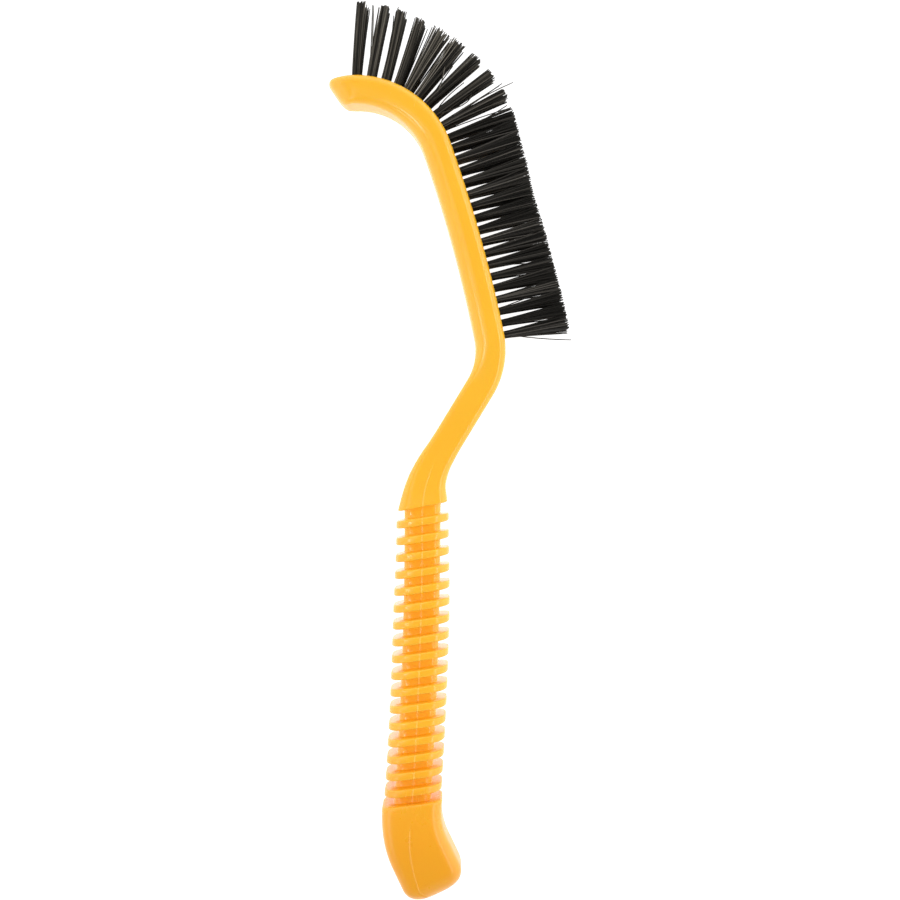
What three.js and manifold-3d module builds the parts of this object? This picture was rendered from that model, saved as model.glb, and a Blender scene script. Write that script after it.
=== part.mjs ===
// Tire brush: a one-piece moulded handle whose curled head carries two rows of stapled bristle tufts.
// Millimetres. The brush lies on its side: +Y runs from the butt to the head, the bristles point to +X,
// and +Z is up. The origin is the middle of its bounding box, on the surface that it lies on.
import * as THREE from 'three';
import { mergeVertices } from 'three/addons/utils/BufferGeometryUtils.js';
import Module from 'manifold-3d';

const wasm = await Module();
wasm.setup();

// Spine of the handle, from the end of the butt to the toe
const GRIP_LEAN = 4.07;
const BUTT_STRAIGHT = 14.2;
const BUTT_BEND_RADIUS = 33;
const BUTT_BEND_ANGLE = 29.5;
const GRIP_BOW_RADIUS = 1380;
const NECK_BEND_RADIUS = 36.2;
const NECK_BEND_ANGLE = 31.33;
const NECK_STRAIGHT = 27;
const HEEL_BEND_RADIUS = 24.4;
const HEEL_BEND_ANGLE = 42.8;
const HEAD_BOW_RADIUS = 470;
const HEAD_BOW_LENGTH = 65.5;
const TOE_BEND_RADIUS = 29;
const TOE_BEND_ANGLE = 85;

// Ribbed grip
const RIB_COUNT = 17;
const RIB_PITCH = 5.62;
const RIB_THICKNESS = 2.6;
const RIB_SIZE = 19.1;
const TOP_RIB_SIZE = 17.7;
const RIB_ROUND = 0.6;
const RIB_DRAFT = 0.2;
const RIB_EDGE = 5;
const RIB_TILT = 7.2;
const TOP_RIB_TILT = 9.2;
const CORE_SIZE = 12.1;
const CORE_EDGE = 2.6;
const COLLAR_INTO_BEND = 2.9;

// Butt
const BUTT_TOP_THICKNESS = 20;
const BUTT_END_THICKNESS = 21;
const BUTT_WIDTH = 19.1;
const BUTT_EDGE = 3.8;
const BUTT_END_ROUND = 6.5;
const SHOULDER_RISE = 1.4;

// Collar and neck
const COLLAR_THICKNESS = 16.5;
const COLLAR_WIDTH = 16.5;
const COLLAR_EDGE = 3.4;
const COLLAR_DROP = 0.8;
const COLLAR_TILT = 11;
const NECK_THICKNESS = 10.1;
const NECK_WIDTH = 12.5;
const NECK_EDGE = 2.8;
const NECK_TAPER = 26;
const TILT_FADE = 10;

// Head
const HEAD_THICKNESS = 9.7;
const HEAD_WIDTH = 15;
const FACE_EDGE = 1.6;
const BACK_EDGE = 3.4;
const TOE_BACK_EDGE = 1.2;
const NOSE_SLANT = 20;
const NOSE_ROUND = 2.2;
const NOSE_TIP_ANGLE = 78;

// Tufts, whose steps are measured along the tuft face from the toe
const TUFT_COLUMNS = 27;
const TUFT_PITCH = 4.14;
const FIRST_TUFT_INSET = 10.21;
const TOE_OPENING = 1.5;
const TOE_OPENING_COLUMNS = 3;
const HEEL_CLOSING = 0.12;
const HEEL_CLOSING_COLUMN = 18;
const ROW_SPACING = 7;
const TUFT_DIAMETER = 2.2;
const TUFT_SPREAD = 1.9;
const STRANDS_ROUND_TUFT = 6;
const STRAND_DIAMETER = 0.68;
const BRISTLE_LENGTH = 22;
const TOE_BRISTLE_LENGTH = 24.2;
const LAST_TOE_COLUMN = 8;
const FIRST_STRAIGHT_COLUMN = 16;
const TRIM_RAGGEDNESS = 0.8;
// Leans of the first tufts towards the heel, in degrees
const TOE_TUFT_LEANS = [5, 2.7, -3, -4, -0.8, 0.7, 2.7, 2, 5, 0];

// Roots and anchors
const HOLE_DEPTH = 6;
const FOLD_THICKNESS = 0.8;
const ANCHOR_THICKNESS = 0.4;
const ANCHOR_HEIGHT = 1.6;
const ANCHOR_WIDTH = 3.6;
const SLICE_THICKNESS = 1;
const SLICE_MARGIN = 0.9;
const SLICE_CLEARANCE = 0.3;
const ROOT_CLEARANCE = 0.2;

// Facets
const CORNER_STEPS = 4;
const BUTT_STEPS = 6;
const NECK_BEND_STEPS = 6;
const NECK_STEPS = 4;
const HEEL_STEPS = 7;
const HEAD_STEPS = 5;
const TOE_STEPS = 12;
const NOSE_STEPS = 6;
const ROOT_SIDES = 6;
const STRAND_SIDES = 3;
const LEAST_FLAT = 0.1;
const POCKET_OVERCUT = 1;

const radians = THREE.MathUtils.degToRad;
const { lerp, clamp, smoothstep } = THREE.MathUtils;
const Z_AXIS = new THREE.Vector3(0, 0, 1);

// Spine: lengths and turns, where a positive turn bends towards the bristle side
const GRIP_LENGTH = (RIB_COUNT + 1) * RIB_PITCH;
const GRIP_BOW_LENGTH = GRIP_LENGTH - COLLAR_INTO_BEND;
const straight = (length) => ({ length, turn: 0 });
const arc = (radius, degrees) => ({ length: radius * radians(Math.abs(degrees)), turn: radians(degrees) });
const bow = (radius, length) => ({ length, turn: -length / radius });
const SPINE = [
  straight(BUTT_STRAIGHT),
  arc(BUTT_BEND_RADIUS, BUTT_BEND_ANGLE),
  bow(GRIP_BOW_RADIUS, GRIP_BOW_LENGTH),
  arc(NECK_BEND_RADIUS, NECK_BEND_ANGLE),
  straight(NECK_STRAIGHT),
  arc(HEEL_BEND_RADIUS, -HEEL_BEND_ANGLE),
  bow(HEAD_BOW_RADIUS, HEAD_BOW_LENGTH),
  arc(TOE_BEND_RADIUS, -TOE_BEND_ANGLE),
];
const spineLength = (segments) => segments.reduce((sum, segment) => sum + segment.length, 0);
const BUTT_TOP = spineLength(SPINE.slice(0, 2));
const SHOULDER = BUTT_TOP + SHOULDER_RISE;
const COLLAR = BUTT_TOP + GRIP_LENGTH - COLLAR_DROP;
const NECK_BEND_END = spineLength(SPINE.slice(0, 4));
const HEEL_START = spineLength(SPINE.slice(0, 5));
const HEEL_END = spineLength(SPINE.slice(0, 6));
const TOE_START = spineLength(SPINE.slice(0, 7));
const TOE_END = spineLength(SPINE);
const NOSE_LENGTH = HEAD_WIDTH / 2;
const NOSE_START = TOE_END - NOSE_LENGTH;

// A place on the spine: its point, the way along it, and the way out to the bristle side
function spineAt(distance) {
  const point = new THREE.Vector3();
  let heading = radians(GRIP_LEAN - BUTT_BEND_ANGLE);
  let left = distance;
  for (const { length, turn } of SPINE) {
    const run = Math.min(left, length);
    const half = (turn * run) / length / 2;
    const chord = half === 0 ? run : (run * Math.sin(half)) / half;
    point.x += chord * Math.sin(heading + half);
    point.y += chord * Math.cos(heading + half);
    heading += 2 * half;
    left -= run;
  }
  const along = new THREE.Vector3(Math.sin(heading), Math.cos(heading), 0);
  const out = new THREE.Vector3(Math.cos(heading), -Math.sin(heading), 0);
  return { point, heading, along, out };
}

// A closed ring of section points [out, across] at a place on the spine.
// The lean moves the bristle side ahead of the back, which tilts the ring.
function ringAt(distance, section, lean = 0) {
  const { point, along, out } = spineAt(distance);
  return section.map(([n, z]) => point.clone()
    .addScaledVector(out, n)
    .addScaledVector(along, n * lean)
    .addScaledVector(Z_AXIS, z));
}

// A rounded rectangle whose face edges and back edges have radii of their own
function roundedSection({ thickness, width, face, back }) {
  const halfN = thickness / 2;
  const halfZ = width / 2;
  const limit = Math.min(halfN, halfZ) - LEAST_FLAT / 2;
  const corners = [[1, 1, face], [1, -1, face], [-1, -1, back], [-1, 1, back]];
  return corners.flatMap(([sideN, sideZ, edge], corner) => {
    const radius = Math.min(edge, limit);
    return Array.from({ length: CORNER_STEPS + 1 }, (_, step) => {
      const angle = (Math.PI / 2) * (corner + step / CORNER_STEPS);
      const n = sideN * (halfN - radius) + radius * Math.sin(angle);
      const z = sideZ * (halfZ - radius) + radius * Math.cos(angle);
      return [n, z];
    });
  });
}
const squareSection = (size, edge) => roundedSection({
  thickness: size, width: size, face: edge, back: edge,
});
const boxSection = (low, high, width) => [
  [high, width / 2], [high, -width / 2], [low, -width / 2], [low, width / 2],
];

// A closed skin through rings of equal count, with flat ends
function loft(rings) {
  const sides = rings[0].length;
  const last = (rings.length - 1) * sides;
  const index = [];
  for (let j = 0; j < sides; j += 1) {
    const k = (j + 1) % sides;
    for (let base = 0; base < last; base += sides) {
      const above = base + sides;
      index.push(base + j, base + k, above + k, base + j, above + k, above + j);
    }
  }
  for (let j = 2; j < sides; j += 1) {
    index.push(0, j, j - 1, last, last + j - 1, last + j);
  }
  const geometry = new THREE.BufferGeometry().setFromPoints(rings.flat());
  geometry.setIndex(index);
  return geometry;
}

// Joins and cuts between closed solids
function toSolid(geometry) {
  const bare = geometry.clone();
  bare.deleteAttribute('normal');
  bare.deleteAttribute('uv');
  const { index, attributes } = mergeVertices(bare);
  return new wasm.Manifold(new wasm.Mesh({
    numProp: 3,
    vertProperties: new Float32Array(attributes.position.array),
    triVerts: new Uint32Array(index.array),
  }));
}
function toGeometry(solid) {
  const { vertProperties, triVerts } = solid.getMesh();
  const geometry = new THREE.BufferGeometry();
  geometry.setAttribute('position', new THREE.BufferAttribute(vertProperties, 3));
  geometry.setIndex(new THREE.BufferAttribute(triVerts, 1));
  geometry.computeVertexNormals();
  return geometry;
}
const join = (geometries) => geometries.map(toSolid).reduce((sum, solid) => sum.add(solid));
const evenly = (from, to, count) => Array.from(
  { length: count + 1 },
  (_, step) => lerp(from, to, step / count),
);

// Sections of the handle away from the grip
function buttSection(distance) {
  const narrowing = smoothstep(distance, BUTT_STRAIGHT, BUTT_TOP);
  const thickness = lerp(BUTT_END_THICKNESS, BUTT_TOP_THICKNESS, narrowing);
  return { thickness, width: BUTT_WIDTH, face: BUTT_EDGE, back: BUTT_EDGE };
}
function neckSection(distance) {
  const taper = (1 - clamp((distance - COLLAR) / NECK_TAPER, 0, 1)) ** 2;
  const heel = smoothstep(distance, HEEL_START, HEEL_END);
  const swell = smoothstep(distance, HEEL_END, TOE_START);
  const toe = smoothstep(distance, TOE_START, TOE_END);
  const neckWidth = lerp(NECK_WIDTH, HEAD_WIDTH, heel);
  const headBack = lerp(lerp(NECK_EDGE, BACK_EDGE, heel), TOE_BACK_EDGE, toe);
  return {
    thickness: lerp(lerp(NECK_THICKNESS, HEAD_THICKNESS, swell), COLLAR_THICKNESS, taper),
    width: lerp(neckWidth, COLLAR_WIDTH, taper),
    face: lerp(lerp(NECK_EDGE, FACE_EDGE, heel), COLLAR_EDGE, taper),
    back: lerp(headBack, COLLAR_EDGE, taper),
  };
}
const shrunk = (section, thickness, width) => ({
  ...section,
  thickness: section.thickness - 2 * thickness,
  width: section.width - 2 * width,
});
const ribTilt = (distance) => lerp(RIB_TILT, TOP_RIB_TILT, (distance - BUTT_TOP) / GRIP_LENGTH);
const ribLean = (distance, tilt = ribTilt(distance)) => Math.tan(radians(tilt) + spineAt(distance).heading);

// Butt: a rounded end, then the bend up to its shoulder, which lies parallel to the ribs
function buttRings() {
  const end = evenly(0, Math.PI / 2, CORNER_STEPS).map((angle) => {
    const distance = BUTT_END_ROUND * (1 - Math.cos(angle));
    const inset = BUTT_END_ROUND * (1 - Math.sin(angle));
    return ringAt(distance, roundedSection(shrunk(buttSection(distance), inset, inset)));
  });
  const leanAt = (distance) => lerp(0, ribLean(distance), smoothstep(distance, BUTT_END_ROUND, BUTT_TOP));
  const bend = evenly(BUTT_STRAIGHT, SHOULDER - RIB_ROUND, BUTT_STEPS).map(
    (distance) => ringAt(distance, roundedSection(buttSection(distance)), leanAt(distance)),
  );
  const shoulder = roundedSection(shrunk(buttSection(SHOULDER), RIB_ROUND, RIB_ROUND));
  return [...end, ...bend, ringAt(SHOULDER, shoulder, ribLean(SHOULDER))];
}

// Grip: a soft square core with tilted, rounder ribs
function gripRings() {
  const coreRing = (distance, tilt) => ringAt(
    distance,
    squareSection(CORE_SIZE, CORE_EDGE),
    ribLean(distance, tilt),
  );
  const ribRing = (distance, size) => ringAt(distance, squareSection(size, RIB_EDGE), ribLean(distance));
  const rings = [coreRing(SHOULDER + RIB_DRAFT)];
  const halfRib = RIB_THICKNESS / 2;
  for (let rib = 1; rib <= RIB_COUNT; rib += 1) {
    const middle = BUTT_TOP + rib * RIB_PITCH;
    const rise = smoothstep(rib, RIB_COUNT / 2, RIB_COUNT);
    const size = lerp(RIB_SIZE, TOP_RIB_SIZE, rise);
    const shoulder = size - 2 * RIB_ROUND;
    rings.push(
      coreRing(middle - halfRib - RIB_DRAFT),
      ribRing(middle - halfRib, shoulder),
      ribRing(middle - halfRib + RIB_ROUND, size),
      ribRing(middle + halfRib - RIB_ROUND, size),
      ribRing(middle + halfRib, shoulder),
      coreRing(middle + halfRib + RIB_DRAFT),
    );
  }
  rings.push(coreRing(COLLAR - RIB_DRAFT, COLLAR_TILT));
  return rings;
}

// Collar, neck and head, as far as the round of the nose
function neckRings() {
  const leanAt = (distance) => {
    const fade = smoothstep(distance, COLLAR, COLLAR + TILT_FADE);
    return lerp(ribLean(distance, COLLAR_TILT), 0, fade);
  };
  const collarFace = roundedSection(shrunk(neckSection(COLLAR), RIB_ROUND, RIB_ROUND));
  const places = [
    ...evenly(COLLAR + RIB_ROUND, NECK_BEND_END, NECK_BEND_STEPS),
    ...evenly(NECK_BEND_END, HEEL_START, NECK_STEPS).slice(1),
    ...evenly(HEEL_START, HEEL_END, HEEL_STEPS).slice(1),
    ...evenly(HEEL_END, TOE_START, HEAD_STEPS).slice(1),
    ...evenly(TOE_START, NOSE_START, TOE_STEPS).slice(1),
  ];
  const rings = places.map(
    (distance) => ringAt(distance, roundedSection(neckSection(distance)), leanAt(distance)),
  );
  return [ringAt(COLLAR, collarFace, leanAt(COLLAR)), ...rings];
}

// Nose: half round seen from the bristle side, slanted back and rounded seen from the side
function noseRings() {
  return evenly(0, radians(NOSE_TIP_ANGLE), NOSE_STEPS).slice(1).map((angle) => {
    const distance = NOSE_START + NOSE_LENGTH * Math.sin(angle);
    const section = neckSection(distance);
    const intoRound = clamp((distance - TOE_END) / NOSE_ROUND + 1, 0, 1);
    const dip = NOSE_ROUND * (1 - Math.sqrt(1 - intoRound ** 2));
    const narrowing = (section.width / 2) * (1 - Math.cos(angle));
    const lean = Math.tan(radians(NOSE_SLANT)) * smoothstep(distance, NOSE_START, TOE_END);
    return ringAt(distance, roundedSection(shrunk(section, dip, narrowing)), lean);
  });
}

// Tufts: columns are counted from the toe, and each column has one tuft on either side of the mid-plane.
// They step evenly along the tuft face, a little wider at the toe and closer at the heel, so the walk
// back is along that face.
function tuftPlace(column) {
  const opening = TOE_OPENING * Math.max(1 - column / TOE_OPENING_COLUMNS, 0) ** 2;
  const closing = HEEL_CLOSING * Math.max(column - HEEL_CLOSING_COLUMN, 0);
  let left = FIRST_TUFT_INSET + column * TUFT_PITCH - opening - closing;
  let distance = TOE_END;
  for (const { length, turn } of SPINE.toReversed()) {
    const stretch = 1 - ((turn / length) * HEAD_THICKNESS) / 2;
    const run = Math.min(left, length * stretch);
    distance -= run / stretch;
    left -= run;
  }
  return distance;
}
const ROWS = [{ name: 'left', side: 1 }, { name: 'right', side: -1 }];
const faceHeight = (distance) => neckSection(distance).thickness / 2;

// The frame of one tuft: x back along the head, y out of the tuft face, z across the head
function tuftFrame(column, side) {
  const distance = tuftPlace(column);
  const { point, along, out } = spineAt(distance);
  const frame = new THREE.Matrix4().makeBasis(along.clone().negate(), out, Z_AXIS);
  const foot = point.addScaledVector(out, faceHeight(distance));
  return frame.setPosition(foot.addScaledVector(Z_AXIS, (side * ROW_SPACING) / 2));
}

// A strip let into the tuft face, from half a pitch before one column to half a pitch after another
function faceStrip(firstColumn, lastColumn, { depth, height, width, endGap }) {
  const count = lastColumn - firstColumn + 1;
  const from = tuftPlace(lastColumn + 0.5) + endGap;
  const to = tuftPlace(firstColumn - 0.5) - endGap;
  return loft(evenly(from, to, count).map((distance) => {
    const face = faceHeight(distance);
    return ringAt(distance, boxSection(face - depth, face + height, width));
  }));
}
const SLICE_WIDTH = ROW_SPACING + TUFT_DIAMETER + 2 * SLICE_MARGIN;

// Root depths below the tuft face
const ROOT_END = HOLE_DEPTH - SLICE_CLEARANCE;
const ANCHOR_MIDDLE = ROOT_END - FOLD_THICKNESS - ROOT_CLEARANCE - ANCHOR_HEIGHT / 2;

// A post with a flat side turned towards each end of the anchor
function postGeometry(diameter, top, bottom) {
  const height = bottom - top;
  const turn = Math.PI / ROOT_SIDES;
  const post = new THREE.CylinderGeometry(diameter / 2, diameter / 2, height, ROOT_SIDES, 1, false, turn);
  return post.translate(0, -top - height / 2, 0);
}
function anchorGeometry(clearance = 0) {
  const grow = 2 * clearance;
  return new THREE.BoxGeometry(ANCHOR_THICKNESS + grow, ANCHOR_HEIGHT + grow, ANCHOR_WIDTH + grow)
    .translate(0, -ANCHOR_MIDDLE, 0);
}

// Handle: the whole moulding, with a pocket for the slices and a blind, slotted hole under each tuft
function handleGeometry() {
  const body = toSolid(loft([...buttRings(), ...gripRings(), ...neckRings(), ...noseRings()]));
  const cuts = [faceStrip(0, TUFT_COLUMNS - 1, {
    depth: SLICE_THICKNESS + SLICE_CLEARANCE,
    height: POCKET_OVERCUT,
    width: SLICE_WIDTH + 2 * SLICE_CLEARANCE,
    endGap: -SLICE_CLEARANCE,
  })];
  for (let column = 0; column < TUFT_COLUMNS; column += 1) {
    for (const { side } of ROWS) {
      const frame = tuftFrame(column, side);
      cuts.push(
        postGeometry(TUFT_DIAMETER + 2 * ROOT_CLEARANCE, SLICE_THICKNESS, HOLE_DEPTH).applyMatrix4(frame),
        anchorGeometry(ROOT_CLEARANCE).applyMatrix4(frame),
      );
    }
  }
  return toGeometry(body.subtract(join(cuts)));
}

// One strand: a thin tapering prism from inside the slice to its trimmed tip
function strandGeometry(foot, tip) {
  const ring = (centre, diameter) => Array.from({ length: STRAND_SIDES }, (_, corner) => {
    const angle = (2 * Math.PI * corner) / STRAND_SIDES;
    const offset = new THREE.Vector3(Math.sin(angle), 0, Math.cos(angle)).multiplyScalar(diameter / 2);
    return offset.add(centre);
  });
  return loft([ring(foot, STRAND_DIAMETER), ring(tip, STRAND_DIAMETER)]);
}

// One tuft in its own frame: a middle strand with a ring of strands that lean outwards
function tuftStrands(column, row) {
  const fromToe = smoothstep(column, LAST_TOE_COLUMN, FIRST_STRAIGHT_COLUMN);
  const length = lerp(TOE_BRISTLE_LENGTH, BRISTLE_LENGTH, fromToe);
  const lean = Math.tan(radians(TOE_TUFT_LEANS[column] ?? 0));
  const footRadius = (TUFT_DIAMETER - STRAND_DIAMETER) / 2;
  const goldenShare = (Math.sqrt(5) - 1) / 2;
  return Array.from({ length: STRANDS_ROUND_TUFT + 1 }, (_, strand) => {
    const angle = (2 * Math.PI * strand) / STRANDS_ROUND_TUFT;
    const radius = strand === STRANDS_ROUND_TUFT ? 0 : footRadius;
    const number = (ROWS.length * column + row) * (STRANDS_ROUND_TUFT + 1) + strand;
    const trim = TRIM_RAGGEDNESS * ((goldenShare * number) % 1);
    const place = new THREE.Vector3(Math.cos(angle), 0, Math.sin(angle)).multiplyScalar(radius);
    const foot = place.clone().setY(-SLICE_THICKNESS / 2);
    const tip = place.multiplyScalar(TUFT_SPREAD).setY(length - trim);
    tip.x += lean * tip.y;
    return strandGeometry(foot, tip);
  });
}

// The folded root of a tuft, which runs down both sides of its anchor and under it
function rootSolid() {
  const root = toSolid(postGeometry(TUFT_DIAMETER, SLICE_THICKNESS / 2, ROOT_END));
  return root.subtract(toSolid(anchorGeometry(ROOT_CLEARANCE)));
}

// A run of columns: a slice of the tuft face with the strands above it and the folded roots below it
function bristleGeometry(firstColumn, lastColumn) {
  const root = toGeometry(rootSolid());
  const pieces = [faceStrip(firstColumn, lastColumn, {
    depth: SLICE_THICKNESS,
    height: 0,
    width: SLICE_WIDTH,
    endGap: SLICE_CLEARANCE / 2,
  })];
  for (let column = firstColumn; column <= lastColumn; column += 1) {
    ROWS.forEach(({ side }, row) => {
      const frame = tuftFrame(column, side);
      const tuft = [...tuftStrands(column, row), root.clone()];
      pieces.push(...tuft.map((geometry) => geometry.applyMatrix4(frame)));
    });
  }
  return toGeometry(join(pieces));
}

// Assembly
const yellowPlastic = { color: 0xfdb92e, roughness: 0.32, metalness: 0 };
const blackNylon = { color: 0x23211e, roughness: 0.55, metalness: 0 };
const steelWire = { color: 0xb4b6b8, roughness: 0.35, metalness: 1 };

function addPiece(parent, name, geometry, finish) {
  const mesh = new THREE.Mesh(geometry, new THREE.MeshStandardMaterial(finish));
  mesh.name = name;
  parent.add(mesh);
  return mesh;
}

const brush = new THREE.Group();
addPiece(brush, 'handle', handleGeometry(), yellowPlastic);

const BRISTLE_RUNS = ['toe_bristles', 'bend_bristles', 'middle_bristles', 'heel_bristles'];
BRISTLE_RUNS.forEach((name, run) => {
  const firstColumn = Math.floor((run * TUFT_COLUMNS) / BRISTLE_RUNS.length);
  const lastColumn = Math.floor(((run + 1) * TUFT_COLUMNS) / BRISTLE_RUNS.length) - 1;
  addPiece(brush, name, bristleGeometry(firstColumn, lastColumn), blackNylon);
});

for (const { name, side } of ROWS) {
  for (let column = 0; column < TUFT_COLUMNS; column += 1) {
    const number = String(column + 1).padStart(2, '0');
    const anchor = addPiece(brush, `anchor_${name}_${number}`, anchorGeometry(), steelWire);
    anchor.applyMatrix4(tuftFrame(column, side));
  }
}

// Set the brush down with the middle of its bounding box over the origin
const bounds = new THREE.Box3().setFromObject(brush, true);
const middle = bounds.getCenter(new THREE.Vector3());
brush.position.set(-middle.x, -middle.y, -bounds.min.z);

export default brush;
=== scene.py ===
# %% [markdown]
# A tire brush, dressed for a picture.
# The real thing is one yellow moulding with black nylon tufts stapled into its curled head.
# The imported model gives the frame: every size below repeats the brush's real size in millimetres,
# and the anchors of the tufts, which stay in the scene, say where the moulding lies.

# %% Load the frame
import math

import bpy
import numpy as np
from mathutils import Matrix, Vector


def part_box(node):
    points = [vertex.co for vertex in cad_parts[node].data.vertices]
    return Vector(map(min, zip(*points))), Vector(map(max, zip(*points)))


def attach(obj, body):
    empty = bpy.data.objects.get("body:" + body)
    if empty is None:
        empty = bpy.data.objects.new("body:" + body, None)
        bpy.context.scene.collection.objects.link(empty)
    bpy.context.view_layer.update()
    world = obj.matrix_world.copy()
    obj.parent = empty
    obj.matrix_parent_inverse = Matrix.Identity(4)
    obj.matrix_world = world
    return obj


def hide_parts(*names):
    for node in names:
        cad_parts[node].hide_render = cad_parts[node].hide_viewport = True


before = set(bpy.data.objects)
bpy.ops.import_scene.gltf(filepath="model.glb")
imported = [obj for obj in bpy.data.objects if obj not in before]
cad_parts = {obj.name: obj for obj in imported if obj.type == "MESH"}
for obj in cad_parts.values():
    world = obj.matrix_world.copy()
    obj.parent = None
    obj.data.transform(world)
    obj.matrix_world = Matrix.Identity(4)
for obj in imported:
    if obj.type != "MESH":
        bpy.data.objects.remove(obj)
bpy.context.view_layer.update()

MM = 0.001

# %% [markdown]
# The spine is the line that runs through the middle of the moulding, from the end of the butt,
# up the grip, over the cranked neck and along the head to the toe.
# It could be a drawn curve, but the real tool was laid out with straights and round bends.
# So it is a list of lengths and turns here, and a place on the brush is a distance along that list.

# %% Lengths and turns of the spine
BUTT_STRAIGHT = 14.2
BUTT_BEND = (33.0, 29.5)
GRIP_BOW_RADIUS = 1380.0
NECK_BEND = (36.2, 31.33)
NECK_STRAIGHT = 27.0
HEEL_BEND = (24.4, 42.8)
HEAD_BOW = (470.0, 65.5)
TOE_BEND = (29.0, 85.0)
RIB_COUNT = 17
RIB_PITCH = 5.62
COLLAR_INTO_BEND = 2.9
COLLAR_DROP = 0.8
GRIP_LENGTH = (RIB_COUNT + 1) * RIB_PITCH


def arc(radius, degrees):
    """A round bend as its length and its turn; a positive turn goes towards the bristles."""
    turn = math.radians(degrees)
    return radius * abs(turn), turn


def bow(radius, length):
    """A long shallow bend away from the bristles."""
    return length, -length / radius


SPINE = [
    (BUTT_STRAIGHT, 0.0),
    arc(*BUTT_BEND),
    bow(GRIP_BOW_RADIUS, GRIP_LENGTH - COLLAR_INTO_BEND),
    arc(*NECK_BEND),
    (NECK_STRAIGHT, 0.0),
    arc(HEEL_BEND[0], -HEEL_BEND[1]),
    bow(*HEAD_BOW),
    arc(TOE_BEND[0], -TOE_BEND[1]),
]
ENDS = np.cumsum([length for length, _ in SPINE])
BUTT_TOP = ENDS[1]
COLLAR = BUTT_TOP + GRIP_LENGTH - COLLAR_DROP
NECK_BEND_END, HEEL_START, HEEL_END, TOE_START, TOE_END = ENDS[3:]
print("spine:", round(float(TOE_END), 1), "mm long, collar at", round(float(COLLAR), 1), "mm")

# %% [markdown]
# To place anything on the brush, the spine is walked to a distance.
# Each stretch is crossed by its chord, which is exact for straights and for round bends,
# so no small steps are needed. At the end stand a point, the way along and the way out to the bristles.

# %% Walk along the spine
GRIP_LEAN = 4.07
ACROSS = np.array([0.0, 0.0, 1.0])


def spine_at(distance):
    """The point on the spine, the way along it, the way out to the bristles, and its heading."""
    heading = math.radians(GRIP_LEAN - BUTT_BEND[1])
    point = np.zeros(3)
    left = distance
    for length, turn in SPINE:
        run = min(left, length)
        half = turn * run / length / 2
        chord = run * np.sinc(half / math.pi)
        point += chord * np.array([math.sin(heading + half), math.cos(heading + half), 0.0])
        heading += 2 * half
        left -= run
    along = np.array([math.sin(heading), math.cos(heading), 0.0])
    out = np.array([math.cos(heading), -math.sin(heading), 0.0])
    return point, along, out, heading


print("the toe points", round(math.degrees(spine_at(TOE_END)[3])), "degrees off straight up")

# %% [markdown]
# A moulding changes its section as it goes: a soft rectangle at the butt, a square at the grip and collar,
# and a flat bar at the head, with a tighter edge beside the bristles than at the back.
# It could be cut from blocks and bevelled, but such bevels fight each other at the bends.
# So each section is five numbers, eased from place to place as a mould maker blends them:
# thickness, width, the edge of the bristle face, the edge of the back, and the crown of the flats.

# %% Sections of the moulding
BUTT_THICKNESS = (21.0, 20.0)
BUTT_WIDTH = 19.1
BUTT_EDGE = 4.7
BUTT_CROWN = 0.25
COLLAR_SIZE, COLLAR_EDGE = 16.5, 4.2
NECK_THICKNESS, NECK_WIDTH = 10.1, 12.5
NECK_FACE_EDGE, NECK_BACK_EDGE = 2.7, 1.9
NECK_TAPER = 26.0
HEAD_THICKNESS, HEAD_WIDTH = 9.7, 15.0
FACE_EDGE, BACK_EDGE, TOE_BACK_EDGE = 2.8, 5.0, 1.8
HEAD_CROWN = 0.4
CROWN_BLEND = 6.0


def ease(value, low, high):
    """0 before low, 1 after high, and a smooth step between them."""
    share = min(max((value - low) / (high - low), 0.0), 1.0)
    return share * share * (3 - 2 * share)


def mix(a, b, share):
    return a + (b - a) * share


def butt_section(distance):
    thickness = mix(*BUTT_THICKNESS, ease(distance, BUTT_STRAIGHT, BUTT_TOP))
    return thickness, BUTT_WIDTH, BUTT_EDGE, BUTT_EDGE, BUTT_CROWN


def neck_section(distance):
    """From the collar to the toe."""
    taper = (1 - min(max((distance - COLLAR) / NECK_TAPER, 0.0), 1.0)) ** 2
    heel = ease(distance, HEEL_START, HEEL_END)
    swell = ease(distance, HEEL_END, TOE_START)
    toe = ease(distance, TOE_START, TOE_END)
    thickness = mix(mix(NECK_THICKNESS, HEAD_THICKNESS, swell), COLLAR_SIZE, taper)
    width = mix(mix(NECK_WIDTH, HEAD_WIDTH, heel), COLLAR_SIZE, taper)
    face = mix(mix(NECK_FACE_EDGE, FACE_EDGE, heel), COLLAR_EDGE, taper)
    back = mix(mix(mix(NECK_BACK_EDGE, BACK_EDGE, heel), TOE_BACK_EDGE, toe), COLLAR_EDGE, taper)
    crown = HEAD_CROWN * ease(distance, HEEL_START - CROWN_BLEND, HEEL_START + CROWN_BLEND)
    return thickness, width, face, back, crown


def square_section(size, edge):
    return size, size, edge, edge, 0.0


def shrunk(section, thickness, width):
    """A section drawn in by so much on each side."""
    return section[0] - 2 * thickness, section[1] - 2 * width, *section[2:]


print("section of the head:", [round(float(size), 1) for size in neck_section(TOE_START)], "mm")

# %% [markdown]
# The outline of a section is walked once round, corner by corner and side by side.
# A corner could be a quarter circle, but then a line shows where the flat ends,
# because the shine jumps there. So it is a soft turn that starts and ends flatter than a circle.
# The mould's two halves leave a fine raised seam along both flats. It is part of the outline,
# because a seam painted on with a bump would have no height of its own.

# %% Outline of a section
CORNER_STEPS = 10
CORNER_FULLNESS = 2.6
FLAT_STEPS = 4
LEAST_FLAT = 0.1
SEAM_HALF_WIDTH = 0.22
SEAM_ROOM = 1.5 * SEAM_HALF_WIDTH
SEAM_STEPS = (-1.0, -0.5, 0.0, 0.5, 1.0)


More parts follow.
